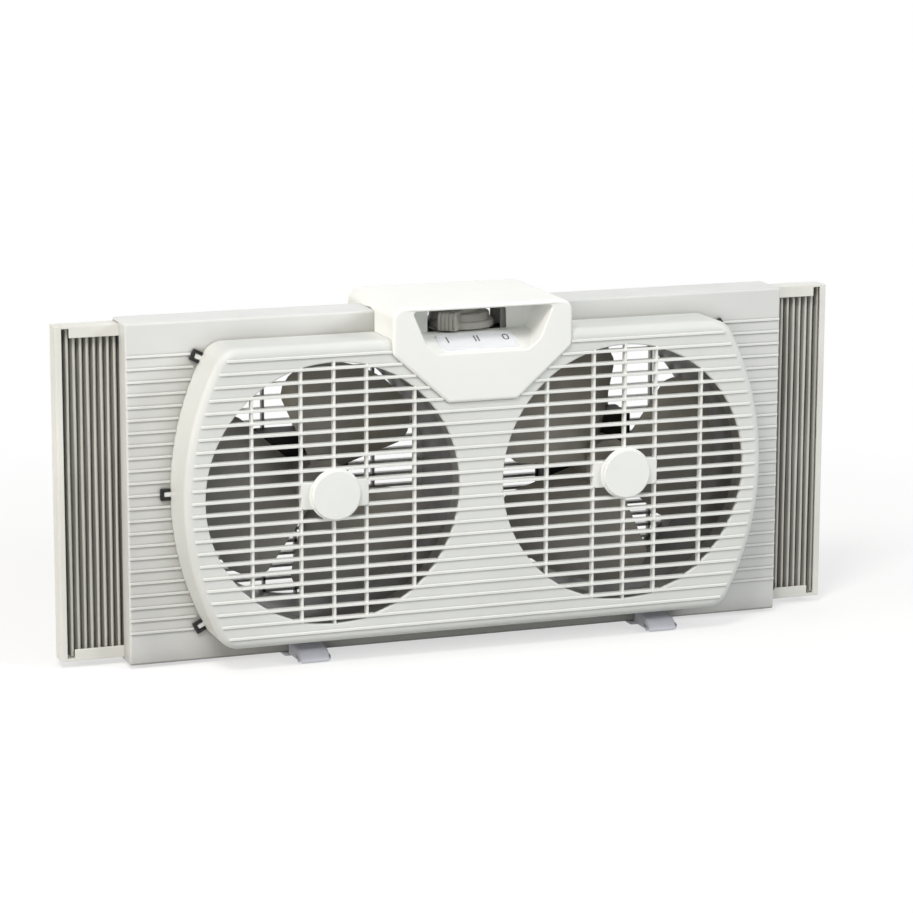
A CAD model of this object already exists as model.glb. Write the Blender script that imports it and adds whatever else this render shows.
import math

import bmesh
import bpy
from mathutils import Matrix, Vector
from mathutils.geometry import tessellate_polygon


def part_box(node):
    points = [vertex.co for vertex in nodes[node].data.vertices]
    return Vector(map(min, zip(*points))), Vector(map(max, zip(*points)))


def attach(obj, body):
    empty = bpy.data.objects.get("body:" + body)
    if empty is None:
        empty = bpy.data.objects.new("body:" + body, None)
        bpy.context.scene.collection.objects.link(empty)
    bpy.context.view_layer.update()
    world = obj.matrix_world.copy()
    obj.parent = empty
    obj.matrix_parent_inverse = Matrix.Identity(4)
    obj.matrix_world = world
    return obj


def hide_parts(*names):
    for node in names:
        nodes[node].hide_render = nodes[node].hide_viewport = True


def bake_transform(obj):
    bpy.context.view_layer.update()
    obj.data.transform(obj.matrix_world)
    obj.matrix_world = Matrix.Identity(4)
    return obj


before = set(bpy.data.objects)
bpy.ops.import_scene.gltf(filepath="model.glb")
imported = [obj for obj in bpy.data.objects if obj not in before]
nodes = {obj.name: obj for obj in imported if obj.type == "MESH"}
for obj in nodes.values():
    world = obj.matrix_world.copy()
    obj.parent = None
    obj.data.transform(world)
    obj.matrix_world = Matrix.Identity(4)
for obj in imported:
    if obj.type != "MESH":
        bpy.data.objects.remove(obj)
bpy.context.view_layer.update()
print("frame loaded:", len(nodes), "CAD nodes")

mm = 0.001
front = -1
rear = 1

shaftLow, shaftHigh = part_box("right_shaft")
fanX = (shaftLow.x + shaftHigh.x) / 2 / mm
midZ = (shaftLow.z + shaftHigh.z) / 2 / mm  # heights below are from this level
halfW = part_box("rear_housing")[1].x / mm
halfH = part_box("rear_housing")[1].z / mm - midZ
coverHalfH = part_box("front_cover")[1].z / mm - midZ
reach = -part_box("front_cover")[0].y / mm

# Distances from the knob axis, towards the front or the rear
caseFace = {front: 12, rear: 30}
caseSplit = 6

beadPitch = 10.8  # on the case and on the covers
openingLook = {
    "rim": 16.2,  # cover left above and below an opening
    "ductGap": 2.5,  # from the opening out to the duct
    "ringGap": 0.3,  # from the duct out to the case round it
}
openingR = coverHalfH - openingLook["rim"]
ductR = openingR + openingLook["ductGap"]
ringCutR = ductR + openingLook["ringGap"]


# Points and outlines: millimetres, heights from the fans' middle

def at(x, d, z, side=front):
    # what is drawn for the front is turned half round for the rear
    return Vector((-side * x, side * d, midZ + z)) * mm


def arcPoints(x, z, r, start, end, steps):
    angles = [math.radians(start + (end - start) * i / steps) for i in range(steps + 1)]
    return [(x + r * math.cos(a), z + r * math.sin(a)) for a in angles]


def circlePoints(x, z, r, steps=128):
    return arcPoints(x, z, r, 0, 360, steps)[:-1]


def roundCorner(before, corner, after, r, steps):
    p, q, s = Vector(before), Vector(corner), Vector(after)
    u, v = (p - q).normalized(), (s - q).normalized()
    half = u.angle(v) / 2
    centre = q + (u + v).normalized() * r / math.sin(half)
    start = q + u * r / math.tan(half) - centre
    end = q + v * r / math.tan(half) - centre
    turn = math.atan2(start.x * end.y - start.y * end.x, start.dot(end))
    first = math.atan2(start.y, start.x)
    angles = [first + turn * i / steps for i in range(steps + 1)]
    return [(centre.x + r * math.cos(a), centre.y + r * math.sin(a)) for a in angles]


def roundCorners(points, radii, steps=6, closed=True):
    made = []
    for i, point in enumerate(points):
        if radii[i] == 0 or not closed and i in (0, len(points) - 1):
            made.append(tuple(point))
        else:
            after = points[(i + 1) % len(points)]
            made += roundCorner(points[i - 1], point, after, radii[i], steps)
    return made


def roundBox(w, h, r, steps=6):
    corners = [(-w / 2, -h / 2), (w / 2, -h / 2), (w / 2, h / 2), (-w / 2, h / 2)]
    return roundCorners(corners, [r] * 4, steps)


def offsetPath(points, d, closed=True, sharpest=0.3):
    # a counter-clockwise path, moved outward by d; sharpest keeps a pointed corner near
    made = []
    last = len(points) - 1
    for i, point in enumerate(points):
        here = Vector(point)
        steps = []
        if closed or i > 0:
            steps.append(here - Vector(points[i - 1]))
        if closed or i < last:
            steps.append(Vector(points[(i + 1) % len(points)]) - here)
        sides = [Vector((s.y, -s.x)).normalized() for s in steps if s.length > 0]
        out = sum(sides, Vector((0, 0))) / len(sides)
        made.append(tuple(here + out * d / max(out.length_squared, sharpest)))
    return made


def quarterRound(r, steps=4):
    # how far in and how far up, round a softened edge
    angles = [math.pi / 2 * i / steps for i in range(steps + 1)]
    return [(r * (1 - math.cos(a)), r * math.sin(a)) for a in angles]


def minus(spans, low, high, least=2):
    # takes low to high out of the spans, and drops what is left too short
    kept = []
    for a, b in spans:
        kept += [(a, min(b, low)), (max(a, high), b)]
    return [(a, b) for a, b in kept if b - a > least]


def minusCircle(spans, x, z, r, level):
    rise = abs(level - z)
    if rise >= r:
        return spans
    chord = math.sqrt(r * r - rise * rise)
    return minus(spans, x - chord, x + chord)


# Mesh tools

meshLook = {
    "axis": 0.001,  # a radius below this lies on the axis
    "join": 0.004,  # points closer than this are one
    "weld": 0.002,  # the same for the CAD nodes
    "normalWeight": 80,
    "sharp": 32,  # degrees from which an edge stays sharp
}


def ring(bm, points, d, side=front):
    # d is one depth for all the points, or a list with one for each
    depths = d if isinstance(d, list) else [d] * len(points)
    return [bm.verts.new(at(x, depth, z, side)) for (x, z), depth in zip(points, depths)]


def skin(bm, low, high, closed=True, material=0):
    count = len(low)
    for i in range(count if closed else count - 1):
        j = (i + 1) % count
        face = bm.faces.new((low[i], low[j], high[j], high[i]))
        face.material_index = material


def fillFlat(bm, loops, facing):
    verts = [v for loop in loops for v in loop]
    for corners in tessellate_polygon([[v.co for v in loop] for loop in loops]):
        face = bm.faces.new([verts[i] for i in corners])
        face.normal_update()
        if face.normal.dot(facing) < 0:
            face.normal_flip()


def facingOut(side):
    return Vector((0, side, 0))


def stack(bm, outline, levels, place):
    # a solid whose outline is inset by so much at each level
    rings = []
    for inset, level in levels:
        points = offsetPath(outline, -inset)
        rings.append([bm.verts.new(place(x, z, level)) for x, z in points])
    for low, high in zip(rings, rings[1:]):
        skin(bm, low, high)
    up = place(0, 0, levels[-1][1]) - place(0, 0, levels[0][1])
    fillFlat(bm, [rings[0]], -up)
    fillFlat(bm, [rings[-1]], up)


def softLevels(low, high, lowEdge, highEdge):
    # levels of a solid with softened edges round both ends
    under = [(0, low)]
    over = [(0, high)]
    if lowEdge:
        under = [(i, low + lowEdge - u) for i, u in reversed(quarterRound(lowEdge))]
    if highEdge:
        over = [(i, high - highEdge + u) for i, u in quarterRound(highEdge)]
    return under + over


def lathe(bm, profile, place, steps=96):
    # profile is (radius, height); a radius of nothing is one point on the axis
    rows = []
    for r, h in profile:
        spots = circlePoints(0, 0, r, steps) if r > meshLook["axis"] else [(0, 0)]
        rows.append([bm.verts.new(place(x, z, h)) for x, z in spots])
    for low, high in zip(rows, rows[1:]):
        for i in range(steps):
            j = (i + 1) % steps
            corners = [low[i % len(low)], low[j % len(low)], high[j % len(high)], high[i % len(high)]]
            bm.faces.new(list(dict.fromkeys(corners)))


def barSection(half, low, high, r, steps=4):
    # a bar seen from its end, as (across, depth), with a rounded outer side
    corners = [(half, low), (half, high), (-half, high), (-half, low)]
    return roundCorners(corners, [0, r, r, 0], steps)


def barStations(a, b, taper, freeStart, freeEnd):
    # taper is (distance from a free end, share of the bar's height there)
    start = [(a + far, share) for far, share in taper] if freeStart else [(a, 1)]
    end = [(b - far, share) for far, share in reversed(taper)] if freeEnd else [(b, 1)]
    return start + end


def sweepBar(bm, section, stations, place):
    # stations are (along, share of the section's height)
    low = min(depth for across, depth in section)
    rings = []
    for along, share in stations:
        rings.append([bm.verts.new(place(along, across, low + (depth - low) * share))
            for across, depth in section])
    for first, second in zip(rings, rings[1:]):
        skin(bm, first, second)
    for end in (rings[0], rings[-1]):
        bm.faces.new(end)


def tube(bm, path, r, across, sides=10):
    # path lies in a plane whose normal is across
    rings = []
    for i, point in enumerate(path):
        tangent = (path[min(i + 1, len(path) - 1)] - path[max(i - 1, 0)]).normalized()
        other = tangent.cross(across).normalized()
        rings.append([bm.verts.new(point + r * (across * x + other * z))
            for x, z in circlePoints(0, 0, 1, sides)])
    for low, high in zip(rings, rings[1:]):
        skin(bm, low, high)
    for end in (rings[0], rings[-1]):
        bm.faces.new(end)


def newPiece(name, bm, body, finishNames, stands, sharp=meshLook["sharp"], solid=True, wall=0):
    # stands are the CAD nodes that the piece takes the place of
    bmesh.ops.remove_doubles(bm, verts=bm.verts, dist=meshLook["join"] * mm)
    if solid:
        bmesh.ops.recalc_face_normals(bm, faces=bm.faces)
    for face in bm.faces:
        face.smooth = True
    for edge in bm.edges:
        edge.smooth = edge.calc_face_angle(math.pi) < math.radians(sharp)
    mesh = bpy.data.meshes.new(name)
    bm.to_mesh(mesh)
    bm.free()
    piece = bpy.data.objects.new(name, mesh)
    bpy.context.scene.collection.objects.link(piece)
    for finishName in finishNames:
        mesh.materials.append(finishes[finishName])
    if body:
        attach(piece, body)
    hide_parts(*stands)
    if wall:
        shell = piece.modifiers.new("wall", "SOLIDIFY")
        shell.thickness = wall * mm
        shell.offset = -1
        shell.use_even_offset = True
    evenNormals(piece)
    return piece


def evenNormals(piece):
    weights = piece.modifiers.new("normals", "WEIGHTED_NORMAL")
    weights.keep_sharp = True
    weights.weight = meshLook["normalWeight"]


# Finishes: all procedural

def linear(tone):
    parts = [int(tone[i:i + 2], 16) / 255 for i in (1, 3, 5)]
    return [c / 12.92 if c <= 0.04045 else ((c + 0.055) / 1.055) ** 2.4 for c in parts] + [1]


def noiseNode(tree, where, scale, detail=4):
    noise = tree.nodes.new("ShaderNodeTexNoise")
    noise.inputs["Scale"].default_value = scale
    noise.inputs["Detail"].default_value = detail
    tree.links.new(where, noise.inputs["Vector"])
    return noise.outputs["Fac"]


def spread(tree, value, low, high, toLow, toHigh):
    node = tree.nodes.new("ShaderNodeMapRange")
    for socket, number in zip(("From Min", "From Max", "To Min", "To Max"), (low, high, toLow, toHigh)):
        node.inputs[socket].default_value = number
    tree.links.new(value, node.inputs["Value"])
    return node.outputs["Result"]


def mixTones(tree, factor, first, second):
    node = tree.nodes.new("ShaderNodeMix")
    node.data_type = "RGBA"
    tree.links.new(factor, node.inputs[0])
    for socket, tone in ((node.inputs[6], first), (node.inputs[7], second)):
        if isinstance(tone, str):
            socket.default_value = linear(tone)
        else:
            tree.links.new(tone, socket)
    return node.outputs[2]


grain = {  # where each pattern sets in and where it is full
    "cloud": (0.35, 0.65),
    "speck": (0.55, 0.8),
    "smudge": (0.3, 0.7),
    "smudgeScale": 2.7,  # against the clouds
    "nookFull": 0.3,
    "worn": (0.82, 0.98),  # all worn, and not at all
    "edgeSamples": 4,
    "nookSamples": 6,
}


def edgeMask(tree, radius):
    # how far a softened normal leaves the true one: high along edges
    soft = tree.nodes.new("ShaderNodeBevel")
    soft.samples = grain["edgeSamples"]
    soft.inputs["Radius"].default_value = radius * mm
    true = tree.nodes.new("ShaderNodeNewGeometry")
    dot = tree.nodes.new("ShaderNodeVectorMath")
    dot.operation = "DOT_PRODUCT"
    tree.links.new(soft.outputs["Normal"], dot.inputs[0])
    tree.links.new(true.outputs["Normal"], dot.inputs[1])
    return spread(tree, dot.outputs["Value"], *grain["worn"], 1, 0)


def makeFinish(name, look):
    material = bpy.data.materials.new(name)
    material.use_nodes = True
    tree = material.node_tree
    shader = tree.nodes["Principled BSDF"]
    where = tree.nodes.new("ShaderNodeTexCoord").outputs["Object"]
    if "brushed" in look:  # stretches the grain along one axis
        stretch = tree.nodes.new("ShaderNodeMapping")
        stretch.inputs["Scale"].default_value = look["brushed"]
        tree.links.new(where, stretch.inputs["Vector"])
        grainPlace = stretch.outputs["Vector"]
    else:
        grainPlace = where
    cloud = noiseNode(tree, where, look["cloud"])
    tone = mixTones(tree, spread(tree, cloud, *grain["cloud"], 0, 1), look["tone"], look["shade"])
    speck = noiseNode(tree, grainPlace, look["grain"], 2)
    specks = spread(tree, speck, *grain["speck"], 0, look["speckle"])
    tone = mixTones(tree, specks, tone, look["shade"])
    if "ridge" in look:  # pleats are paler where they stand out
        split = tree.nodes.new("ShaderNodeSeparateXYZ")
        tree.links.new(where, split.inputs[0])
        near, far = look["ridgeFrom"] * mm, look["ridgeTo"] * mm
        tone = mixTones(tree, spread(tree, split.outputs["Y"], near, far, 1, 0), tone, look["ridge"])
    for far, share, free in look.get("nook", ()):  # a shade where other faces stand close
        close = tree.nodes.new("ShaderNodeAmbientOcclusion")
        close.samples = grain["nookSamples"]
        close.inputs["Distance"].default_value = far * mm
        shaded = spread(tree, close.outputs["AO"], grain["nookFull"], free, share, 0)
        tone = mixTones(tree, shaded, tone, look["dust"])
    worn = edgeMask(tree, look["edgeR"])
    tone = mixTones(tree, spread(tree, worn, 0, 1, 0, look["edgeShare"]), tone, look["edge"])
    tree.links.new(tone, shader.inputs["Base Color"])
    smudge = noiseNode(tree, where, look["cloud"] * grain["smudgeScale"])
    rough = spread(tree, smudge, *grain["smudge"], *look["rough"])
    tree.links.new(rough, shader.inputs["Roughness"])
    bump = tree.nodes.new("ShaderNodeBump")
    bump.inputs["Strength"].default_value = look["bump"]
    bump.inputs["Distance"].default_value = look["bumpDepth"] * mm
    tree.links.new(speck, bump.inputs["Height"])
    tree.links.new(bump.outputs["Normal"], shader.inputs["Normal"])
    shader.inputs["Metallic"].default_value = look.get("metal", 0)
    shader.inputs["IOR"].default_value = look.get("ior", 1.46)
    return material


plainPlastic = {"cloud": 9, "grain": 1400, "speckle": 0.25, "edgeR": 0.8, "edgeShare": 0.5,
    "rough": (0.36, 0.5), "bump": 0.12, "bumpDepth": 0.12}
plainMetal = {"cloud": 60, "grain": 900, "speckle": 0.5, "edgeR": 0.4, "edgeShare": 0.5,
    "rough": (0.24, 0.4), "bump": 0.15, "bumpDepth": 0.05, "metal": 1, "ior": 2.2}

finishLooks = {
    "caseWhite": {"tone": "#e0e1df", "shade": "#d9dad8", "edge": "#e7e8e6", "dust": "#8f8d86",
        "nook": ((28, 0.8, 0.85), (3, 0.55, 0.95))},
    "caseBead": {"tone": "#ecedeb", "shade": "#e5e6e4", "edge": "#f2f3f1", "dust": "#a3a19a",
        "nook": ((28, 0.6, 0.85),)},
    "coverWhite": {"tone": "#e1e3e0", "shade": "#dadcd9", "edge": "#edeeeb", "dust": "#98978f",
        "nook": ((3, 0.75, 0.95),)},
    "coverBead": {"tone": "#eff0ed", "shade": "#e9eae7", "edge": "#f4f5f2"},
    "grilleWhite": {"tone": "#f0f1ee", "shade": "#e8eae6", "edge": "#f5f6f3"},
    "controlWhite": {"tone": "#f6f7f4", "shade": "#f1f2ef", "edge": "#f8f8f5", "bump": 0.08},
    "labelWhite": {"tone": "#f3f4f7", "shade": "#eeeff3", "edge": "#dfe0e5", "bump": 0.05},
    "capWhite": {"tone": "#f2f4f1", "shade": "#edefec", "edge": "#dcdedb", "bump": 0.05},
    "railWhite": {"tone": "#ecece6", "shade": "#dfdfd8", "edge": "#f2f2ed", "grain": 900, "speckle": 0.6},
    "lipGrey": {"tone": "#8c8a83", "shade": "#7a7871", "edge": "#a19f98"},
    "ductGrey": {"tone": "#676561", "shade": "#585652", "edge": "#7a7873"},
    "bladeGrey": {"tone": "#979692", "shade": "#948d80", "edge": "#adaba3", "cloud": 5},
    "knobGrey": {"tone": "#b2b1ab", "shade": "#a29f98", "edge": "#cac8c2", "cloud": 25},
    "footGrey": {"tone": "#dadbe3", "shade": "#cfd0d9", "edge": "#e6e7ee", "cloud": 30},
    "pleatVinyl": {"tone": "#a5a49e", "shade": "#94928b", "edge": "#b8b6ae", "ridge": "#f3f1e9",
        "ridgeFrom": 12.4, "ridgeTo": 15.4, "grain": 700, "bump": 0.3, "rough": (0.5, 0.66)},
    "motorBlack": {"tone": "#1d1c1b", "shade": "#141312", "edge": "#3a3836", "rough": (0.42, 0.6)},
    "clipBlack": {"tone": "#1b1b1d", "shade": "#121214", "edge": "#3c3c40", "cloud": 80},
    "padRubber": {"tone": "#232324", "shade": "#19191a", "edge": "#303032", "rough": (0.7, 0.86),
        "bump": 0.4},
    "wireSleeve": {"tone": "#e2dfd5", "shade": "#d2cfc4", "edge": "#eceae2", "rough": (0.3, 0.42)},
    "markInk": {"tone": "#707072", "shade": "#626264", "edge": "#808082", "rough": (0.5, 0.6)},
}
metalLooks = {
    "platedSteel": {"tone": "#b9bbbe", "shade": "#a2a4a8", "edge": "#d6d8db", "brushed": (1, 14, 1)},
    "stackedIron": {"tone": "#7b7772", "shade": "#5f5b57", "edge": "#95918c", "brushed": (1, 40, 1),
        "rough": (0.45, 0.62), "bump": 0.4},
    "enamelCopper": {"tone": "#b8693a", "shade": "#93502a", "edge": "#d08a5a", "brushed": (1, 50, 1),
        "bump": 0.6, "rough": (0.3, 0.42)},
    "porousBronze": {"tone": "#b08d57", "shade": "#8f7040", "edge": "#caa873", "bump": 0.35},
}
finishes = {name: makeFinish(name, {**plainPlastic, **look}) for name, look in finishLooks.items()}
finishes.update({name: makeFinish(name, {**plainMetal, **look}) for name, look in metalLooks.items()})
print("finishes made:", len(finishes))


# Covers, front and rear alike

rowLook = {  # the beads across a cover, which go on as the bars of its grilles
    "rows": 11,  # above and below the middle one
    "out": 1.3,
    "half": 1.2,
    "round": 0.5,
    "sunk": 0.5,  # into the cover's face
    "inset": 6,  # from the cover's ends
    "seat": 1.25,  # how far the bars reach past an opening's rim
    "taper": ((0, 0.3), (0.5, 0.65), (1.6, 0.92), (3.2, 1)),
    "nearEnd": 0.1,  # a bead that stops this near the cover's end runs free there
}
coverLook = {
    "endR": 253,  # bowed ends
    "endGap": 18.1,  # from an opening to the end beside it
    "cornerR": 20,
    "wall": 2,
    "shoulder": 7,  # rounding between the side wall and the face
    "gap": 0.3,  # to the control housing
    "notchR": (6, 4),  # corners of the cut for the control housing
    "rimRound": 1.5,  # rounding at a grille opening
    "rimDepth": 3,
    "lip": 20,
}
plateD = reach - rowLook["out"]
seatR = openingR + rowLook["seat"]
endX = fanX + openingR + coverLook["endGap"] - coverLook["endR"]
cornerZ = coverHalfH - coverLook["cornerR"]
cornerRun = math.sqrt((coverLook["endR"] - coverLook["cornerR"]) ** 2 - cornerZ ** 2)
cornerLean = math.atan2(cornerZ, cornerRun)

controlLook = {
    "width": 162,
    "foot": 62,
    "over": 9,  # above the case's top
    "rise": 44,  # height of the slanted sides
    "clear": 8.4,  # from those to the openings
    "out": 2,
    "wall": 2,
    "faceEdge": 3,
    "radii": (4, 4, 6, 10, 10, 6),  # from the foot's left corner, counter-clockwise
    "caseGap": 0.1,  # above this, over the case's top, the wall goes further back
    "step": 0.05,  # half the height in which it does
}
controlTop = halfH + controlLook["over"]
slantX = (controlLook["width"] - controlLook["foot"]) / 2
slant = math.hypot(slantX, controlLook["rise"])
controlFoot = ((openingR + controlLook["clear"]) * slant
    - (fanX - controlLook["foot"] / 2) * controlLook["rise"]) / slantX
controlShoulder = controlFoot + controlLook["rise"]


def coverHalfW(z, inset=0):
    # half the cover's width at a height
    bow = coverLook["endR"] - inset
    corner = coverLook["cornerR"] - inset
    if abs(z) < bow * math.sin(cornerLean):
        return endX + math.sqrt(bow * bow - z * z)
    over = min(abs(z) - cornerZ, corner)
    return endX + cornerRun + math.sqrt(corner * corner - over * over)


def coverPath(startX):
    # counter-clockwise from the top edge left of the controls, round to the right of them
    lean = math.degrees(cornerLean)
    quarter = arcPoints(endX + cornerRun, -cornerZ, coverLook["cornerR"], -90, -lean, 10)
    bow = arcPoints(endX, 0, coverLook["endR"], -lean, lean, 40)
    right = quarter + bow[1:-1] + [(x, -z) for x, z in reversed(quarter)]
    left = [(-x, z) for x, z in reversed(right)]
    return [(-startX, coverHalfH)] + left + right + [(startX, coverHalfH)]


def controlPoints():
    foot, half = controlLook["foot"] / 2, controlLook["width"] / 2
    corners = [(-foot, controlFoot), (foot, controlFoot), (half, controlShoulder), (half, controlTop),
        (-half, controlTop), (-half, controlShoulder)]
    return roundCorners(corners, controlLook["radii"], 8)


def controlHalfW(z):
    # half the width of the controls' outline at a height, and -1 below it
    if z < controlFoot:
        return -1
    slope = slantX / controlLook["rise"]
    return min(controlLook["width"] / 2, controlLook["foot"] / 2 + (z - controlFoot) * slope)


def makeCover(side, name, node):
    bm = bmesh.new()
    gap = coverLook["gap"]
    path = coverPath(controlLook["width"] / 2 + gap)
    low = ring(bm, path, caseFace[side], side)
    for inset, up in quarterRound(coverLook["shoulder"], 7):
        high = ring(bm, offsetPath(path, -inset, False), plateD - coverLook["shoulder"] + up, side)
        skin(bm, low, high, closed=False)
        low = high
    foot, half = controlLook["foot"] / 2, controlLook["width"] / 2
    notch = [(half, coverHalfH), (half, controlShoulder), (foot, controlFoot), (-foot, controlFoot),
        (-half, controlShoulder), (-half, coverHalfH)]
    outerR, innerR = coverLook["notchR"]
    bend = roundCorners(notch, [0, outerR, innerR, innerR, outerR, 0], 6, False)
    bend = offsetPath(bend, -gap, False)[1:-1]
    edge = high + ring(bm, bend, plateD, side)
    holes = []
    for x in (-fanX, fanX):
        rim = coverLook["rimRound"]
        circle = circlePoints(x, 0, openingR)
        outer = ring(bm, offsetPath(circle, rim), plateD, side)
        holes.append(outer)
        for inset, up in quarterRound(rim, 3)[1:]:
            inner = ring(bm, offsetPath(circle, rim - up), plateD - inset, side)
            skin(bm, outer, inner)
            outer = inner
        rimD, lipD = plateD - coverLook["rimDepth"], plateD - coverLook["lip"]
        skin(bm, outer, ring(bm, circle, rimD, side))
        skin(bm, ring(bm, circle, rimD, side), ring(bm, circle, lipD, side), material=1)
    fillFlat(bm, [edge] + holes, facingOut(side))
    return newPiece(name, bm, "root", ["coverWhite", "lipGrey"],
        [node], solid=False, wall=coverLook["wall"])


def coverSpans(z):
    # where a bead may run at a height: between the ends, the openings and the controls
    end = coverHalfW(z, rowLook["inset"])
    spans = [(-end, end)]
    for x in (-fanX, fanX):
        spans = minusCircle(spans, x, 0, seatR, z)
    half = controlHalfW(z)
    gap = coverLook["gap"]
    return minus(spans, -half - gap, half + gap) if half > 0 else spans


def makeCoverBeads(side, name, node):
    bm = bmesh.new()
    section = barSection(rowLook["half"], plateD - rowLook["sunk"], reach, rowLook["round"])
    rows, near = rowLook["rows"], rowLook["nearEnd"]
    for k in range(-rows, rows + 1):
        z = k * beadPitch
        end = coverHalfW(z, rowLook["inset"])
        for a, b in coverSpans(z):
            stations = barStations(a, b, rowLook["taper"], abs(a + end) < near, abs(b - end) < near)
            sweepBar(bm, section, stations, lambda x, up, d: at(x, d, z + up, side))
    return newPiece(name, bm, "root", ["coverBead"], [node])


tabLook = {
    "w": 4,
    "l": 5.6,
    "t": 2.2,
    "round": 1,
    "in": 1,  # how far it starts inside the cover's edge
    "edge": 0.5,
    "lean": 0.84,  # degrees from the cover's corner to the tabs near it
}
tabTop = math.degrees(cornerLean) - tabLook["lean"]
tabAngles = (-tabTop, 0, tabTop)


def makeTabs(side, name, node):
    # the cover's tongues, which the black clips grip
    bm = bmesh.new()
    half, inner, outer, r = tabLook["w"] / 2, -tabLook["in"], tabLook["l"], tabLook["round"]
    corners = [(inner, -half), (outer, -half), (outer, half), (inner, half)]
    outline = roundCorners(corners, [0, r, r, 0], 4)
    face = caseFace[side]
    levels = softLevels(face, face + tabLook["t"], 0, tabLook["edge"])
    for way in (-1, 1):
        for angle in tabAngles:
            a = math.radians(angle)

            def onEdge(x, z, d):
                far = coverLook["endR"] + x
                along = endX + far * math.cos(a) - z * math.sin(a)
                return at(way * along, d, far * math.sin(a) + z * math.cos(a), side)

            stack(bm, outline, levels, onEdge)
    return newPiece(name, bm, "root", ["coverBead"], [node])


grilleLook = {
    "depth": 7,
    "uprights": (-72, -29, 0, 29, 72),
    "half": 1.1,
    "in": 1.2,  # how far the uprights' crests lie behind the rows'
    "round": 0.7,
    "boss": (60, 23.4, 3),  # width, height and corners
    "bossEdge": 1,
    "lap": 0.4,  # how far a bar runs into the boss
}


def makeGrille(side, name, node):
    bm = bmesh.new()
    back, lap = reach - grilleLook["depth"], grilleLook["lap"]
    rowSection = barSection(rowLook["half"], back, reach, rowLook["round"])
    uprightSection = barSection(grilleLook["half"], back, reach - grilleLook["in"], grilleLook["round"])
    bossW, bossH, bossR = grilleLook["boss"]
    for fan in (-fanX, fanX):
        for k in range(1 - rowLook["rows"], rowLook["rows"]):
            z = k * beadPitch
            chord = math.sqrt(seatR ** 2 - z ** 2)
            spans = [(fan - chord, fan + chord)]
            if abs(z) < bossH / 2:
                spans = minus(spans, fan - bossW / 2 + lap, fan + bossW / 2 - lap)
            for a, b in spans:
                sweepBar(bm, rowSection, [(a, 1), (b, 1)], lambda x, up, d: at(x, d, z + up, side))
        for x in grilleLook["uprights"]:
            chord = math.sqrt(seatR ** 2 - x ** 2)
            spans = [(-chord, chord)]
            if abs(x) < bossW / 2:
                spans = minus(spans, lap - bossH / 2, bossH / 2 - lap)
            for a, b in spans:
                sweepBar(bm, uprightSection, [(a, 1), (b, 1)],
                    lambda z, along, d: at(fan + x - along, d, z, side))
        stack(bm, roundBox(bossW, bossH, bossR), softLevels(back, reach, 0, grilleLook["bossEdge"]),
            lambda x, z, d: at(fan + x, d, z, side))
    return newPiece(name, bm, "root", ["grilleWhite"], [node])


capLook = {
    "rimR": 22.6,
    "rimOut": 2.4,
    "rimEdge": 0.8,
    "discR": 20.9,
    "foot": 0.4,  # how much wider the disc is where it leaves the rim
    "out": 5.2,
    "edge": 0.9,
}


def makeCaps(side, name, node):
    bm = bmesh.new()
    top = reach + capLook["out"]
    step = reach + capLook["rimOut"]
    rimR, discR = capLook["rimR"], capLook["discR"]
    corners = [(0, reach), (rimR, reach), (rimR, step), (discR + capLook["foot"], step), (discR, top),
        (0, top)]
    profile = roundCorners(corners, [0, 0, capLook["rimEdge"], 0, capLook["edge"], 0], 4, False)
    for fan in (-fanX, fanX):
        lathe(bm, profile, lambda x, z, d: at(fan + x, d, z, side))
    return newPiece(name, bm, "root", ["capWhite"], [node])


for side, word in ((front, "front"), (rear, "rear")):
    cover = word + "_cover"
    makeCover(side, word + "CoverShell", cover)
    makeCoverBeads(side, word + "CoverBeads", cover)
    makeTabs(side, word + "CoverTabs", cover)
    makeGrille(side, word + "Grille", cover)
    makeCaps(side, word + "Caps", word + "_center_caps")
print("covers and grilles built")


# Case

caseLook = {
    "edge": 2,
    "wall": 2,
    "notchHalf": 34,
    "notchFoot": 97,
    "cordHole": (-3, -126, 4.6),  # depth, height and radius
    "slotFrom": 8.2,  # the expanders' slots, in depth
    "slotTo": 27.9,
    "slotTop": 144.5,
}

caseBeadLook = {
    "rows": 11,  # above and below the middle one
    "out": 1.3,
    "half": 1.1,
    "round": 0.45,
    "sunk": 0.4,
    "inset": 0.7,  # from the case's ends
    "coverGap": 0.3,
    "clipClear": 9.4,
    "screws": ((250, 100), (250, -100)),  # on the rear only, and mirrored
    "screwClear": 5.4,
    "taper": ((0, 0.45), (0.4, 0.8), (1.2, 1)),
    "nearEnd": 10,  # the same for the case
}

recessLook = {
    "depth": 42,
    "foot": 115,  # height of the mouth's lower edge
    "floor": 127,
    "top": 152,
    "lip": 2,
    "rampEnd": 32,  # where the ramp meets the floor
    "lowHalf": 40.5,
    "kneeHalf": 51.5,
    "kneeZ": 123.5,
    "topHalf": 63.5,
    "lowR": 8,
    "kneeR": 12,
    "topR": 2.5,
    "clear": 2.3,  # from the recess to the rear case round it
    "mouthRound": 1.6,
    "slotHalf": 36,
    "slotTop": 150.4,
    "slotR": 9,
    "sideUp": 8,  # the sides are even from this far above the knee
    "sideSteps": 16,
    "sideEase": 1.8,
    "depths": (60, 57, 54, 50, 46, 42, 38, 35, 33, 32, 31, 27),
}
recessSide = [(0, recessLook["foot"]), (recessLook["lowHalf"], recessLook["foot"]),
    (recessLook["kneeHalf"], recessLook["kneeZ"]), (recessLook["topHalf"], recessLook["top"])]


def levelPoint(path, z):
    # where a path that climbs reaches a height
    for (x0, z0), (x1, z1) in zip(path, path[1:]):
        if z0 <= z <= z1 and z1 > z0:
            return x0 + (x1 - x0) * (z - z0) / (z1 - z0)
    return path[-1][0]


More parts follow.
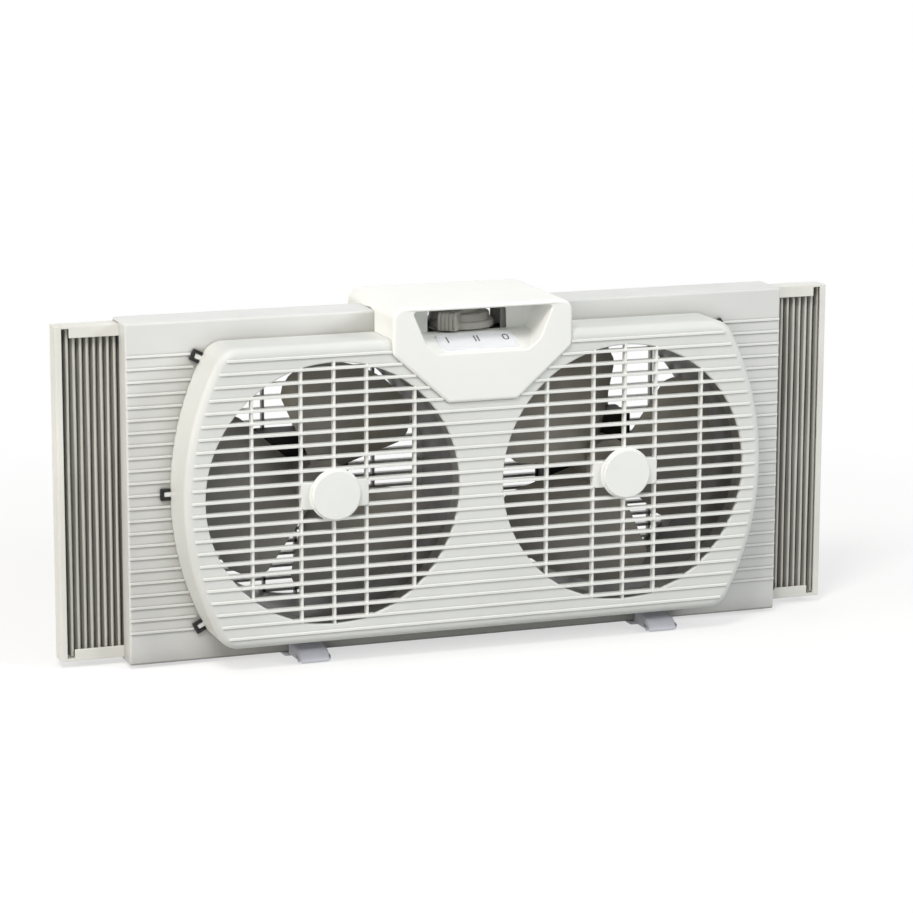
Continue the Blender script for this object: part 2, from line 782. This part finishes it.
def caseSpans(z, side):
    # where a bead may run at a height: clear of the cover, its clips and the rear screws
    end = halfW - caseBeadLook["inset"]
    spans = [(-end, end)]
    half = coverHalfW(z, -caseBeadLook["coverGap"])
    spans = minus(spans, -half, half)
    for x, level in arcPoints(endX, 0, coverLook["endR"], -tabTop, tabTop, 2):
        for way in (-1, 1):
            spans = minusCircle(spans, way * x, level, caseBeadLook["clipClear"], z)
    if side == rear:
        for x, level in caseBeadLook["screws"]:
            for way in (-1, 1):
                spans = minusCircle(spans, way * x, level, caseBeadLook["screwClear"], z)
    return spans


def makeCaseBeads(side, name, node):
    bm = bmesh.new()
    look, face = caseBeadLook, caseFace[side]
    section = barSection(look["half"], face - look["sunk"], face + look["out"], look["round"])
    near = halfW - look["nearEnd"]
    for k in range(-look["rows"], look["rows"] + 1):
        z = k * beadPitch
        for a, b in caseSpans(z, side):
            stations = barStations(a, b, look["taper"], a < -near, b > near)
            sweepBar(bm, section, stations, lambda x, up, d: at(x, d, z + up, side))
    return newPiece(name, bm, "root", ["caseBead"], [node])


def cutWall(bm, x, hole):
    # puts a hole, given as (depth, height) points, in the flat wall at x
    near = 0.001 * mm

    def areaThere(face):
        return face.calc_area() if all(abs(v.co.x - x * mm) < near for v in face.verts) else 0

    wall = max(bm.faces, key=areaThere)
    corners = list(wall.verts)
    bm.faces.remove(wall)
    loop = [bm.verts.new(Vector((x, y, midZ + z)) * mm) for y, z in hole]
    fillFlat(bm, [corners, loop], Vector((x, 0, 0)))


def makeCase(side, name, node):
    bm = bmesh.new()
    face, edge = caseFace[side], caseLook["edge"]
    base = -caseSplit if side == front else caseSplit
    if side == front:
        half = caseLook["notchHalf"]
        notch = [(half, caseLook["notchFoot"]), (-half, caseLook["notchFoot"])]
    else:
        cut = offsetPath(recessSide, recessLook["clear"], False)
        half = levelPoint(cut[2:], halfH)
        inner = caseLook["notchHalf"]
        notch = [cut[2], cut[1], (inner, cut[1][1]), (inner, caseLook["notchFoot"])]
        notch += [(-x, z) for x, z in reversed(notch)]
    corners = [(-half, halfH), (-halfW, halfH), (-halfW, -halfH), (halfW, -halfH), (halfW, halfH),
        (half, halfH)]
    path = roundCorners(corners, [0, edge, edge, edge, edge, 0], 4, False)
    low = ring(bm, path, base, side)
    for inset, up in quarterRound(edge):
        high = ring(bm, offsetPath(path, -inset, False), face - edge + up, side)
        skin(bm, low, high, closed=False)
        low = high
    holes = [ring(bm, circlePoints(x, 0, ringCutR), face, side) for x in (-fanX, fanX)]
    fillFlat(bm, [high + ring(bm, notch, face, side)] + holes, facingOut(side))
    if side == front:
        y, z, r = caseLook["cordHole"]
        cutWall(bm, halfW, circlePoints(y, z, r, 32))
    else:
        y0, y1 = caseLook["slotFrom"], caseLook["slotTo"]
        top = caseLook["slotTop"]
        slot = [(y0, -top), (y1, -top), (y1, top), (y0, top)]
        for x in (-halfW, halfW):
            cutWall(bm, x, slot)
    return newPiece(name, bm, "root", ["caseWhite"], [node], solid=False,
        wall=caseLook["wall"])


for side, word in ((front, "front"), (rear, "rear")):
    makeCase(side, word + "CaseShell", word + "_housing")
    makeCaseBeads(side, word + "CaseBeads", word + "_housing")
print("case built")


# Controls

controlD = reach + controlLook["out"]
recessEdge = roundCorners(recessSide, [0, recessLook["lowR"], recessLook["kneeR"], 0], 8, False)


def recessLow(d):
    # height of the recess's floor at a depth: the ramp, then the level part
    share = (controlD - recessLook["lip"] - d) / (controlD - recessLook["lip"] - recessLook["rampEnd"])
    return recessLook["foot"] + (recessLook["floor"] - recessLook["foot"]) * min(max(share, 0), 1)


def recessLoop(d):
    # counter-clockwise, the same number of points at every depth
    low = recessLow(d)
    straight = recessLook["kneeZ"] + recessLook["sideUp"]
    side = []
    for i in range(recessLook["sideSteps"] + 1):
        z = low + (straight - low) * (i / recessLook["sideSteps"]) ** recessLook["sideEase"]
        side.append((levelPoint(recessEdge[1:], z), z))
    corner = recessSide[-1]
    right = side + roundCorner(side[-1], corner, (0, corner[1]), recessLook["topR"], 6)
    flat = recessLook["slotHalf"]
    return [(-flat, low), (flat, low)] + right + [(-x, z) for x, z in reversed(right)]


def makeControlHousing(side, name, node):
    bm = bmesh.new()
    outline = controlPoints()
    face, edge = caseFace[side], controlLook["faceEdge"]
    caseTop = halfH + controlLook["caseGap"]
    path = []
    for i, (x, z) in enumerate(outline):
        path.append((x, z))
        nextX, nextZ = outline[(i + 1) % len(outline)]
        upright = abs(nextX - x) < 0.01
        if upright and min(z, nextZ) < halfH < max(z, nextZ):
            step = controlLook["step"] if nextZ > z else -controlLook["step"]
            path += [(x, caseTop - step), (x, caseTop + step)]
    base = [0 if z > caseTop else face for x, z in path]
    low = ring(bm, path, base, side)
    for inset, up in quarterRound(edge, 6):
        high = ring(bm, offsetPath(path, -inset), controlD - edge + up, side)
        skin(bm, low, high)
        low = high
    mouth = recessLoop(controlD)
    rim = recessLook["mouthRound"]
    outer = ring(bm, offsetPath(mouth, rim), controlD, side)
    fillFlat(bm, [high, outer], facingOut(side))
    for inset, up in quarterRound(rim, 4)[1:]:
        inner = ring(bm, offsetPath(mouth, rim - up), controlD - inset, side)
        skin(bm, outer, inner)
        outer = inner
    back = controlD - recessLook["depth"]
    for d in recessLook["depths"] + (back,):
        inner = ring(bm, recessLoop(d), d, side)
        skin(bm, outer, inner)
        outer = inner
    half, top, low = recessLook["slotHalf"], recessLook["slotTop"], recessLook["floor"]
    slot = roundCorners([(half, low), (half, top), (-half, top), (-half, low)],
        [0, recessLook["slotR"], recessLook["slotR"], 0], 6)
    wall = inner[2:] + ring(bm, [(-half, low)] + list(reversed(slot))[1:-1] + [(half, low)], back, side)
    fillFlat(bm, [wall], facingOut(side))
    return newPiece(name, bm, "root", ["controlWhite"], [node], solid=False,
        wall=controlLook["wall"])


labelLook = {
    "w": 70,
    "l": 24,
    "r": 5,
    "t": 1.2,
    "edge": ((0.1, 0.1), (0.3, 0)),  # inset, and how far below the top
    "groove": 0.35,
    "grooveAt": 1.5,
    "grooveW": 0.9,
    "grooveSide": 0.2,
}


def makeLabel(side, name, node):
    bm = bmesh.new()
    run = controlD - recessLook["lip"] - recessLook["rampEnd"]
    climb = recessLook["floor"] - recessLook["foot"]
    lean = math.atan2(climb, run)
    middle = math.hypot(run, climb) / 2

    def onRamp(x, along, up):
        s = middle + along
        d = controlD - recessLook["lip"] - s * math.cos(lean) + up * math.sin(lean)
        return at(x, d, recessLook["foot"] + s * math.sin(lean) + up * math.cos(lean), side)

    t, first, slope = labelLook["t"], labelLook["grooveAt"], labelLook["grooveSide"]
    last, bottom = first + labelLook["grooveW"], t - labelLook["groove"]
    levels = [(0, 0), (0, t - labelLook["edge"][-1][0])]
    levels += [(inset, t - down) for inset, down in labelLook["edge"]]
    levels += [(first, t), (first + slope, bottom), (last - slope, bottom), (last, t)]
    stack(bm, roundBox(labelLook["w"], labelLook["l"], labelLook["r"]), levels, onRamp)
    return newPiece(name, bm, "root", ["labelWhite"], [node])


for side, word in ((front, "front"), (rear, "rear")):
    makeControlHousing(side, word + "Controls", word + "_control_housing")
    makeLabel(side, word + "Label", word + "_label_plate")


knobLook = {
    "low": 128.5,
    "flange": (30, 6),  # radius and height of each step
    "tier": (26, 12.5),
    "drum": (18, 21.5),
    "tierFoot": (0.5, 0.6),  # how much wider and higher the steps start
    "drumFoot": (0.6, 0.5),
    "rim": 3,  # round the dish on top
    "dishSlope": 1.5,
    "dish": 1.2,
    "radii": (0, 1, 1.8, 0.8, 1.6, 0.8, 1.5, 1, 1, 0),
    "gripR": 38,
    "gripIn": 4,
    "gripW": 17,
    "gripH": 16,
    "gripEdge": 1.2,
    "gripTop": 1,
    "gripLow": 0.3,
    "ribs": 5,
    "ribR": 1.5,
    "ribLow": 0.6,
    "ribBend": 2.5,
    "ribLap": 0.5,  # how far before the drum a rib ends
    "turns": (-36, 144),
}


def makeKnob():
    bm = bmesh.new()
    low = knobLook["low"]
    (r1, h1), (r2, h2), (r3, h3) = knobLook["flange"], knobLook["tier"], knobLook["drum"]
    (out2, up2), (out3, up3) = knobLook["tierFoot"], knobLook["drumFoot"]
    dishR = r3 - knobLook["rim"]
    dishH = h3 - knobLook["dish"]
    corners = [(0, 0), (r1, 0), (r1, h1), (r2 + out2, h1 + up2), (r2, h2), (r3 + out3, h2 + up3), (r3, h3),
        (dishR, h3), (dishR - knobLook["dishSlope"], dishH), (0, dishH)]
    profile = roundCorners(corners, knobLook["radii"], 5, False)
    lathe(bm, profile, lambda x, y, h: Vector((x, y, midZ + low + h)) * mm)
    ribR, gripW, gripH = knobLook["ribR"], knobLook["gripW"], knobLook["gripH"]
    face, inner, edge = knobLook["gripR"] - ribR, knobLook["gripIn"], knobLook["gripEdge"]
    half, top = gripW / 2, knobLook["gripTop"]
    block = [(-half, -face), (half, -face), (half, -inner), (-half, -inner)]
    outline = roundCorners(block, [edge, edge, 0, 0], 4)
    for turn in knobLook["turns"]:
        spin = Matrix.Rotation(math.radians(turn), 3, "Z")

        def onGrip(x, y, h):
            return spin @ Vector((x * mm, y * mm, 0)) + Vector((0, 0, (midZ + low + h) * mm))

        stack(bm, outline, softLevels(knobLook["gripLow"], gripH - top, 0, top), onGrip)
        pitch = (gripW - 2 * ribR) / (knobLook["ribs"] - 1)
        for i in range(knobLook["ribs"]):
            x = ribR - gripW / 2 + i * pitch
            high = gripH - ribR
            bend = [(-face, knobLook["ribLow"]), (-face, high), (-r3 - knobLook["ribLap"], high)]
            bend = roundCorners(bend, [0, knobLook["ribBend"], 0], 5, False)
            path = [onGrip(x, y, h) for y, h in bend]
            tube(bm, path, ribR * mm, spin @ Vector((1, 0, 0)))
    return newPiece("knobBody", bm, "knob", ["knobGrey"], ["knob"])


makeKnob()
print("controls built")


# Impellers

impellerLook = {
    "blades": 3,
    "turns": {"left": 18, "right": 78},  # degrees of the first blade
    "tipR": 106,
    "rootR": 20.5,
    "sweep": 97,
    "depth": 36,
    "backY": 11,
    "thick": 2.2,
    "rootShare": 1.25,  # of the thickness, thinning towards the tip
    "thinning": 0.4,
    "edgeShare": 0.35,  # of the thickness, at the very edge
    "edgeSteps": 2,
    "tipSteps": 1.5,
    "trimFrom": 0.72,  # where the tip's corners start to round off
    "trim": 0.16,
    "trimEase": 2.4,
    "lean": 0.05,
    "hubR": 23,
    "hubFront": -26,
    "hubBack": 12,
    "hubWall": 2,
    "hubRadii": (0, 3, 0.6, 0.6, 2, 1, 0.6, 0),
    "bossR": 7,
    "boreR": 3,
    "steps": 28,
    "rows": 16,
    "sharp": 40,
}


def bladePoint(centreX, r, angle, y):
    a = math.radians(angle)
    return Vector((centreX + r * math.cos(a), y, midZ + r * math.sin(a))) * mm


def makeBlade(bm, centreX, turn):
    look = impellerLook
    rate = math.radians(look["sweep"]) / look["depth"]  # turn for each millimetre of depth
    trimRun = 1 - look["trimFrom"]
    sheets = {-1: [], 1: []}
    for j in range(look["rows"] + 1):
        v = j / look["rows"]
        r = look["rootR"] + (look["tipR"] - look["rootR"]) * v
        trim = look["trim"] * max(0, (v - look["trimFrom"]) / trimRun) ** look["trimEase"]
        lean = look["lean"] * math.sin(math.pi * v)  # what lies between the edges sits a little forward
        rows = {-1: [], 1: []}
        for i in range(look["steps"] + 1):
            u = trim + (1 - 2 * trim) * i / look["steps"]
            u = min(max(u + lean * (1 - u) * u * 2, 0), 1)
            y = look["backY"] - look["depth"] * u
            angle = turn + look["sweep"] * u
            a = math.radians(angle)
            radial = Vector((math.cos(a), 0, math.sin(a)))
            along = Vector((-math.sin(a) * r * rate, -1, math.cos(a) * r * rate)).normalized()
            normal = radial.cross(along)
            ends = min(i, look["steps"] - i) / look["edgeSteps"]
            tip = (look["rows"] - j) / look["tipSteps"]
            thin = min(1, look["edgeShare"] + (1 - look["edgeShare"]) * min(ends, tip))
            half = look["thick"] / 2 * thin * (look["rootShare"] - look["thinning"] * v) * mm
            middle = bladePoint(centreX, r, angle, y)
            for way in (-1, 1):
                rows[way].append(bm.verts.new(middle + normal * half * way))
        for way in (-1, 1):
            sheets[way].append(rows[way])
    for way in (-1, 1):
        for low, high in zip(sheets[way], sheets[way][1:]):
            skin(bm, low, high, closed=False)
    for j in range(look["rows"]):
        for i in (0, look["steps"]):
            bm.faces.new((sheets[-1][j][i], sheets[-1][j + 1][i], sheets[1][j + 1][i], sheets[1][j][i]))
    for row in (0, look["rows"]):
        skin(bm, sheets[-1][row], sheets[1][row], closed=False)


def makeImpeller(word, centreX):
    bm = bmesh.new()
    look = impellerLook
    for i in range(look["blades"]):
        makeBlade(bm, centreX, look["turns"][word] + 360 / look["blades"] * i)
    r, wall, nose, back = look["hubR"], look["hubWall"], look["hubFront"], look["hubBack"]
    bossR, boreR = look["bossR"], look["boreR"]
    corners = [(boreR, nose), (r, nose), (r, back), (r - wall, back), (r - wall, nose + wall),
        (bossR, nose + wall), (bossR, back), (boreR, back)]
    profile = roundCorners(corners, look["hubRadii"], 5, False)
    lathe(bm, profile + [profile[0]], lambda x, z, y: Vector((centreX + x, y, midZ + z)) * mm)
    return newPiece(word + "ImpellerBody", bm, word + "_fan", ["bladeGrey"],
        [word + "_impeller"], sharp=look["sharp"])


for word, way in (("left", -1), ("right", 1)):
    makeImpeller(word, way * fanX)
print("impellers built")


# Bellows

bellowsLook = {
    "inner": 270,
    "outer": 352.3,
    "pleats": 14,
    "ridgeY": 11.7,
    "valleyY": 23.3,
    "halfH": 141,
    "sheet": 1,
    "fold": 0.8,
    "sharp": 60,
    "levels": 14,
    "sway": 0.22,
    "swayUp": 0.031,  # how fast the sway changes, in height and from pleat to pleat
    "swayAcross": 0.57,
    "still": 6,  # no sway at the ends, and full sway this far in
    "endEase": 4,
}


def makeBellows(word, way):
    bm = bmesh.new()
    look = bellowsLook
    step = (look["outer"] - look["inner"]) / (2 * look["pleats"])
    folds = []
    for i in range(2 * look["pleats"] + 1):
        folds.append((look["inner"] + i * step, look["valleyY"] if i % 2 == 0 else look["ridgeY"]))
    line = roundCorners(folds, [look["fold"]] * len(folds), 4, False)
    half = look["sheet"] / 2
    section = offsetPath(line, half, False) + list(reversed(offsetPath(line, -half, False)))
    rings = []
    for j in range(look["levels"] + 1):
        z = look["halfH"] * (2 * j / look["levels"] - 1)
        free = 1 - (z / look["halfH"]) ** look["endEase"]
        row = []
        for x, y in section:
            wave = look["sway"] * free * math.sin(z * look["swayUp"] + x * look["swayAcross"])
            inside = min(1, (look["outer"] - x) / look["still"], (x - look["inner"]) / look["still"])
            row.append(bm.verts.new(Vector((way * (x + wave * max(inside, 0)), y, midZ + z)) * mm))
        rings.append(row)
    for low, high in zip(rings, rings[1:]):
        skin(bm, low, high)
    for end in (rings[0], rings[-1]):
        fillFlat(bm, [end], Vector((0, 0, 1)))
    piece = newPiece(word + "Pleats", bm, "", ["pleatVinyl"], [word + "_bellows"],
        sharp=look["sharp"])
    middleY = (look["ridgeY"] + look["valleyY"]) / 2
    end = Vector((way * look["outer"], middleY, midZ)) * mm
    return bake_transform(piece)


for word, way in (("left", -1), ("right", 1)):
    makeBellows(word, way)
print("bellows built")


# Feet

footLook = {
    "reach": 45,
    "w": 29,
    "side": 4,  # rounding along a toe's sides
    "rim": 4,
    "under": 0.8,
    "dropShare": 0.21,
    "tipShare": 0.23,
    "nose": 8,
    "toeRadii": (0, 0.8, 1.4, 6, 0),
    "plateR": 2,
    "plateEdge": 0.4,
}


def makeFoot(word):
    bm = bmesh.new()
    low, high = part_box(word + "_foot")
    x = (low.x + high.x) / 2 / mm
    tall = high.z / mm
    reachY, under, nose = footLook["reach"], footLook["under"], footLook["nose"]
    tipZ, topZ = tall * footLook["tipShare"], tall * (1 - footLook["dropShare"])
    half, side = footLook["w"] / 2, footLook["side"]
    for face, way in ((caseFace[front], -1), (caseFace[rear], 1)):
        corners = [(face, under), (reachY, under), (reachY, tipZ), (reachY - nose, topZ), (face, tall)]
        outline = roundCorners(corners, footLook["toeRadii"], 6)
        stack(bm, outline, softLevels(-half, half, side, side),
            lambda y, z, along: Vector((x + along, way * y, z)) * mm)
    wide = half + footLook["rim"]
    y0, y1 = -caseFace[front] - footLook["rim"], caseFace[rear] + footLook["rim"]
    plate = roundCorners([(-wide, y0), (wide, y0), (wide, y1), (-wide, y1)],
        [footLook["plateR"]] * 4, 5)
    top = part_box("front_housing")[0].z / mm
    stack(bm, plate, softLevels(under, top, footLook["plateEdge"], 0),
        lambda a, y, z: Vector((x + a, y, z)) * mm)
    return newPiece(word + "FootBody", bm, "root", ["footGrey"], [word + "_foot"])


for word in ("left", "right"):
    makeFoot(word)
print("feet built")


# CAD nodes that stay and only get a finish

nodeFinish = {
    "dial_marks": "markInk", "knob_shaft": "platedSteel", "rotary_switch": "motorBlack",
    "switch_bracket": "platedSteel", "fan_shroud": "ductGrey", "motor_screws": "platedSteel",
    "housing_screws": "platedSteel", "front_cover_clips": "clipBlack", "rear_cover_clips": "clipBlack",
    "wiring_harness": "wireSleeve", "supply_wire": "wireSleeve", "cord_inlet": "clipBlack",
    "foot_pads": "padRubber",
}
pairFinish = {
    "shaft": "platedSteel", "hub_clip": "platedSteel", "rotor": "platedSteel", "stator": "stackedIron",
    "coil": "enamelCopper", "motor_cover": "motorBlack", "motor_plate": "motorBlack",
    "bearings": "porousBronze", "end_bar": "railWhite", "top_rail": "railWhite",
    "bottom_rail": "railWhite", "bellows_clamp": "railWhite", "rail_guides": "ductGrey",
}
edgeSoft = {"end_bar": 0.6, "top_rail": 0.4, "bottom_rail": 0.4, "cover_clips": 0.5, "motor_cover": 0.8,
    "motor_plate": 0.6, "dial_marks": 0}
edgeLook = {
    "width": 0.25,  # for a node that edgeSoft doesn't name
    "segments": 2,
    "angle": 38,
}


def keepNode(name, finishName):
    node = nodes[name]
    node.data.materials.clear()
    node.data.materials.append(finishes[finishName])
    for polygon in node.data.polygons:
        polygon.use_smooth = True
    weld = node.modifiers.new("weld", "WELD")
    weld.merge_threshold = meshLook["weld"] * mm
    width = next((w for part, w in edgeSoft.items() if part in name), edgeLook["width"])
    if width:
        soft = node.modifiers.new("edges", "BEVEL")
        soft.width = width * mm
        soft.segments = edgeLook["segments"]
        soft.limit_method = "ANGLE"
        soft.angle_limit = math.radians(edgeLook["angle"])
    evenNormals(node)


for name, finishName in nodeFinish.items():
    keepNode(name, finishName)
for word in ("left", "right"):
    for part, finishName in pairFinish.items():
        keepNode(word + "_" + part, finishName)
print("CAD nodes finished")


# Floor, light and camera

studioLook = {
    "floorHalf": 6,  # metres, as for the fade, the lamps and the camera's place
    "floorTone": "#aeaeae",
    "floorGlow": 0.6,  # what the floor shows where it is looked at, besides its own shade
    "fadeFrom": 0.42,  # where the floor starts to turn plain white, from the middle
    "fadeTo": 0.95,
    "ambient": 0.24,
    "lamps": {
        "key": {"place": (-1.1, -1.5, 2.45), "size": 0.8, "power": 41, "tone": (1, 0.99, 0.975)},
        "side": {"place": (-2.6, -0.5, 0.8), "size": 1.2, "power": 26, "tone": (1, 0.93, 0.82)},
        "right": {"place": (2.0, -1.8, 1.3), "size": 0.7, "power": 30, "tone": (0.985, 1, 1)},
        "top": {"place": (0.1, 0.4, 2.7), "size": 1.6, "power": 8, "tone": (1, 1, 1)},
        "back": {"place": (0.9, 2.3, 1.6), "size": 1.5, "power": 4.5, "tone": (1, 1, 1)},
        "low": {"place": (-1.6, -2.2, 0.45), "size": 1.0, "power": 9, "tone": (1, 1, 0.98)},
    },
    "cameraPlace": (-1.0077, -2.7576, 0.7767),
    "cameraTurn": (-20.04, 78.17, 0.18),
    "lens": 135.8,
    "sensor": 36,
}


def mathNode(tree, operation, first, second):
    node = tree.nodes.new("ShaderNodeMath")
    node.operation = operation
    tree.links.new(first, node.inputs[0])
    tree.links.new(second, node.inputs[1])
    return node.outputs[0]


def seenMask(tree):
    # 1 for what is looked at, straight or in a reflection, and 0 for what only lights
    path = tree.nodes.new("ShaderNodeLightPath").outputs
    mask = mathNode(tree, "MAXIMUM", path["Is Camera Ray"], path["Is Glossy Ray"])
    return mathNode(tree, "MAXIMUM", mask, path["Is Transmission Ray"])


def makeFloor():
    bm = bmesh.new()
    half = studioLook["floorHalf"]
    bm.faces.new([bm.verts.new((x * half, y * half, 0)) for x, y in ((-1, -1), (1, -1), (1, 1), (-1, 1))])
    mesh = bpy.data.meshes.new("floor")
    bm.to_mesh(mesh)
    bm.free()
    floor = bpy.data.objects.new("floor", mesh)
    bpy.context.scene.collection.objects.link(floor)
    material = bpy.data.materials.new("paleFloor")
    material.use_nodes = True
    tree = material.node_tree
    tree.nodes.clear()
    out = tree.nodes.new("ShaderNodeOutputMaterial")
    matt = tree.nodes.new("ShaderNodeBsdfDiffuse")
    matt.inputs["Color"].default_value = linear(studioLook["floorTone"])
    glow = tree.nodes.new("ShaderNodeEmission")
    seen = seenMask(tree)
    tree.links.new(spread(tree, seen, 0, 1, 0, studioLook["floorGlow"]), glow.inputs["Strength"])
    both = tree.nodes.new("ShaderNodeAddShader")
    tree.links.new(matt.outputs[0], both.inputs[0])
    tree.links.new(glow.outputs[0], both.inputs[1])
    spot = tree.nodes.new("ShaderNodeTexCoord")
    away = tree.nodes.new("ShaderNodeVectorMath")
    away.operation = "LENGTH"
    tree.links.new(spot.outputs["Object"], away.inputs[0])
    fade = spread(tree, away.outputs["Value"], studioLook["fadeFrom"], studioLook["fadeTo"], 0, 1)
    plain = tree.nodes.new("ShaderNodeEmission")
    plain.inputs["Color"].default_value = (1, 1, 1, 1)
    plain.inputs["Strength"].default_value = 1
    mixed = tree.nodes.new("ShaderNodeMixShader")
    tree.links.new(mathNode(tree, "MULTIPLY", fade, seen), mixed.inputs[0])
    tree.links.new(both.outputs[0], mixed.inputs[1])
    tree.links.new(plain.outputs[0], mixed.inputs[2])
    tree.links.new(mixed.outputs[0], out.inputs["Surface"])
    mesh.materials.append(material)


def makeWorld():
    world = bpy.data.worlds.new("studio")
    bpy.context.scene.world = world
    world.use_nodes = True
    tree = world.node_tree
    back = tree.nodes["Background"]
    strength = spread(tree, seenMask(tree), 0, 1, studioLook["ambient"], 1)
    tree.links.new(strength, back.inputs["Strength"])
    back.inputs["Color"].default_value = (1, 1, 1, 1)


def makeLamps():
    target = Vector((0, 0, midZ * mm))
    for name, lamp in studioLook["lamps"].items():
        light = bpy.data.lights.new(name, "AREA")
        light.size = lamp["size"]
        light.energy = lamp["power"]
        light.color = lamp["tone"]
        holder = bpy.data.objects.new(name, light)
        holder.location = lamp["place"]
        holder.rotation_euler = (target - holder.location).to_track_quat("-Z", "Y").to_euler()
        bpy.context.scene.collection.objects.link(holder)


def makeCamera():
    camera = bpy.data.objects.new("camera", bpy.data.cameras.new("camera"))
    bpy.context.scene.collection.objects.link(camera)
    camera.data.lens = studioLook["lens"]
    camera.data.sensor_width = studioLook["sensor"]
    pan, tilt, roll = [math.radians(a) for a in studioLook["cameraTurn"]]
    turn = Matrix.Rotation(pan, 4, "Z") @ Matrix.Rotation(tilt, 4, "X") @ Matrix.Rotation(roll, 4, "Z")
    camera.matrix_world = Matrix.Translation(studioLook["cameraPlace"]) @ turn
    bpy.context.scene.camera = camera


makeFloor()
makeWorld()
makeLamps()
makeCamera()
bpy.context.scene.view_settings.view_transform = "Standard"
print("studio ready")
